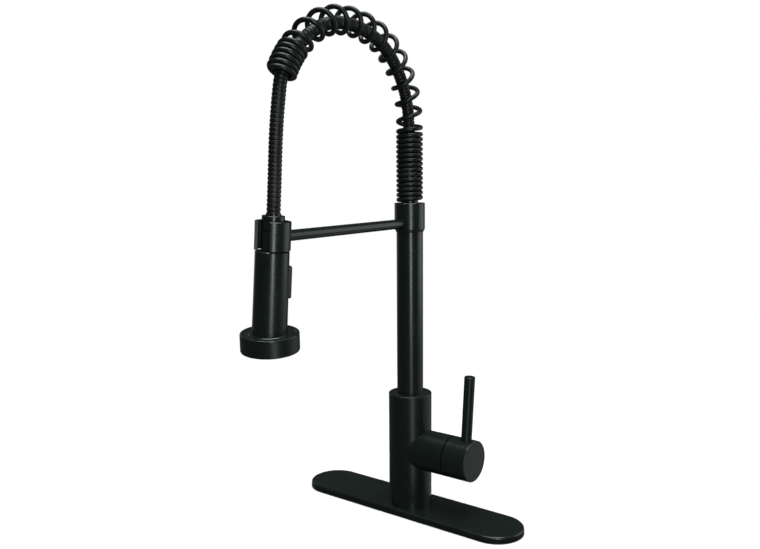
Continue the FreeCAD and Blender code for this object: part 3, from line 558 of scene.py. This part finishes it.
# ------------------------------------------------------------------ springs in the head, in mm
def head_spring(name, cad_name, start, axis, radius, wire_radius, turns, length):
    """A coil along the axis, from start over the given length, attached to the spray head."""
    axis = axis.normalized()
    across = axis.orthogonal().normalized()
    square = axis.cross(across)
    path = []
    for t in np.linspace(0, 1, int(turns * 40)):
        angle = 2 * math.pi * turns * t
        path.append(start + axis * (length * t) + across * (radius * math.cos(angle))
                    + square * (radius * math.sin(angle)))
    verts, faces = tube_mesh(np.array(path, float), wire_radius, segments=12, cap=0.05)
    piece = replacement(name, cad_name, "steel_parts", verts, faces)
    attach(piece, "spray_head")
    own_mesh(piece)


# the head's own Y axis, square to the spray axis
head_x = Vector((0, 1, 0)).cross(-DOWN).normalized()
head_y = (-DOWN).cross(head_x)
head_spring("button_return_spring", "button_spring",
            start=HEAD + DOWN * 38.0 + head_y * 7.25, axis=head_y, radius=3.6,
            wire_radius=0.3, turns=3.5, length=3.6)
head_spring("check_valve_coil", "check_valve_spring",
            start=HEAD + DOWN * 20.6, axis=DOWN, radius=1.75,
            wire_radius=0.22, turns=4, length=4.1)

# ------------------------------------------------------------------ view directions, in metres
AZIMUTH, ELEVATION, ROLL = (math.radians(angle) for angle in (37.504, 7.608, -0.4384))
MIDDLE = Vector((0, -0.05, 0.25))
side = Vector((math.cos(AZIMUTH), math.sin(AZIMUTH), 0))        # to the camera's right
level = Vector((math.sin(AZIMUTH), -math.cos(AZIMUTH), 0))      # level, towards the camera
back = level * math.cos(ELEVATION) + Vector((0, 0, math.sin(ELEVATION)))


def direction(degrees):
    """Level direction at an angle from the camera's, turning to its right."""
    angle = math.radians(degrees)
    return level * math.cos(angle) + side * math.sin(angle)


def around(degrees, distance, height):
    """Point round the tap, measured from MIDDLE."""
    return MIDDLE + direction(degrees) * distance + Vector((0, 0, height))


# ------------------------------------------------------------------ floor
FLOOR_RADIUS = 12.0
FLOOR_SEGMENTS = 96
STRIP_ANGLE = 9         # of the strip light, and of the bright lane on the floor
PATCH_ANGLE = 104       # of the paler patch that the knob's end face reflects


def floor_reflection(tree, coord):
    """Brightness in reflections: a dim floor, a bright lane in front, a patch to the right.

    The lane carries the strip light's line down to the deck."""
    lane = direction(STRIP_ANGLE)
    across = vector_maths(tree, "DOT_PRODUCT", coord, (-lane.y, lane.x, 0))
    ahead = vector_maths(tree, "DOT_PRODUCT", coord, (lane.x, lane.y, 0))
    slant = maths(tree, "ABSOLUTE", maths(tree, "DIVIDE", across, ahead))
    lane_light = maths(tree, "MULTIPLY",
                       ramp(tree, slant, over=(0.09, 0.20), to=(1.0, 0.0)),
                       ramp(tree, ahead, over=(0.08, 0.16), to=(0.0, 1.5)))
    patch = direction(PATCH_ANGLE)
    towards = vector_maths(tree, "DOT_PRODUCT", vector_maths(tree, "NORMALIZE", coord),
                           (patch.x, patch.y, 0))
    patch_light = ramp(tree, towards, over=(0.70, 0.95), to=(0.09, 0.36))
    return maths(tree, "ADD", lane_light, patch_light)


def floor_material():
    """Pale near the tap, fading into the white surroundings so that no horizon shows."""
    material, tree, output = new_material("pale_floor")
    coord = object_coord(tree)
    mottle = noise(tree, coord, scale=9.0, detail=5.0)
    pale = node(tree, "ShaderNodeBsdfPrincipled", {
        "Base Color": mix_colour(tree, mottle, (0.90, 0.90, 0.90), (0.93, 0.93, 0.93)),
        "Roughness": 0.9,
        "Specular IOR Level": 0.1,
    })
    seen = node(tree, "ShaderNodeLightPath").outputs["Is Camera Ray"]
    strength = maths(tree, "MAXIMUM", floor_reflection(tree, coord), seen)
    glow = node(tree, "ShaderNodeEmission", {"Color": (1, 1, 1, 1), "Strength": strength})
    distance = vector_maths(tree, "LENGTH", coord)
    fade = maths(tree, "MAXIMUM",
                 ramp(tree, distance, over=(0.25, 0.75), to=(0.0, 1.0)),
                 ramp(tree, seen, over=(0.0, 1.0), to=(1.0, 0.0)))
    mix = node(tree, "ShaderNodeMixShader", {0: fade, 1: pale.outputs[0], 2: glow.outputs[0]})
    tree.links.new(mix.outputs[0], output.inputs[0])
    return material


def make_floor():
    verts = [(0, 0, 0)]
    faces = []
    for k in range(FLOOR_SEGMENTS):
        angle = 2 * math.pi * k / FLOOR_SEGMENTS
        verts.append((FLOOR_RADIUS * math.cos(angle), FLOOR_RADIUS * math.sin(angle), 0))
        faces.append((0, 1 + k, 1 + (k + 1) % FLOOR_SEGMENTS))
    mesh = bpy.data.meshes.new("floor")
    mesh.from_pydata(verts, [], faces)
    floor = bpy.data.objects.new("floor", mesh)
    scene.collection.objects.link(floor)
    mesh.materials.append(floor_material())


make_floor()


# ------------------------------------------------------------------ world, lights, camera
def make_world():
    """White to the camera, and a dim green-blue to everything else."""
    world = bpy.data.worlds.new("studio")
    scene.world = world
    world.use_nodes = True
    tree = world.node_tree
    tree.nodes.clear()
    seen, lit = (
        node(tree, "ShaderNodeBackground", {"Color": colour, "Strength": strength}).outputs[0]
        for colour, strength in (((1, 1, 1, 1), 1.0), ((0.93, 1.0, 0.99, 1), 0.06)))
    is_camera = node(tree, "ShaderNodeLightPath").outputs["Is Camera Ray"]
    mix = node(tree, "ShaderNodeMixShader", {0: is_camera, 1: lit, 2: seen})
    node(tree, "ShaderNodeOutputWorld", {0: mix.outputs[0]})


def area_light(name, place, target, width, height, power):
    data = bpy.data.lights.new(name, "AREA")
    data.shape = "RECTANGLE"
    data.size, data.size_y = width, height
    data.energy = power
    light = bpy.data.objects.new(name, data)
    scene.collection.objects.link(light)
    light.location = place
    light.visible_camera = False
    light.rotation_mode = "QUATERNION"
    light.rotation_quaternion = (Vector(target) - Vector(place)).to_track_quat("-Z", "Y")


def make_camera():
    data = bpy.data.cameras.new("camera")
    camera = bpy.data.objects.new("camera", data)
    scene.collection.objects.link(camera)
    scene.camera = camera
    data.sensor_width = 36.0
    data.sensor_fit = "HORIZONTAL"
    data.lens = 39.146684
    data.clip_start, data.clip_end = 0.01, 100
    up = back.cross(side)
    right = side * math.cos(ROLL) + up * math.sin(ROLL)
    top = up * math.cos(ROLL) - side * math.sin(ROLL)
    place = side * -0.030372 + Vector((0, 0, 0.247441)) + back * 0.840232
    turn = Matrix((right, top, back)).transposed().to_4x4()
    camera.matrix_world = Matrix.Translation(place) @ turn


make_world()
area_light("strip_front", around(STRIP_ANGLE, distance=1.15, height=0.22),
           target=MIDDLE + Vector((0, 0, 0.1)), width=0.17, height=1.1, power=7.5)
area_light("panel_right", around(100, distance=1.2, height=0.2),
           target=MIDDLE, width=1.0, height=1.1, power=5.0)
area_light("panel_left", around(-140, distance=1.3, height=0.2),
           target=MIDDLE, width=0.5, height=1.1, power=0.8)
area_light("top", (0.1, -0.2, 1.9),
           target=(0, -0.05, 0), width=1.3, height=1.3, power=50)
make_camera()
scene.view_settings.view_transform = "Standard"
scene.view_settings.look = "None"
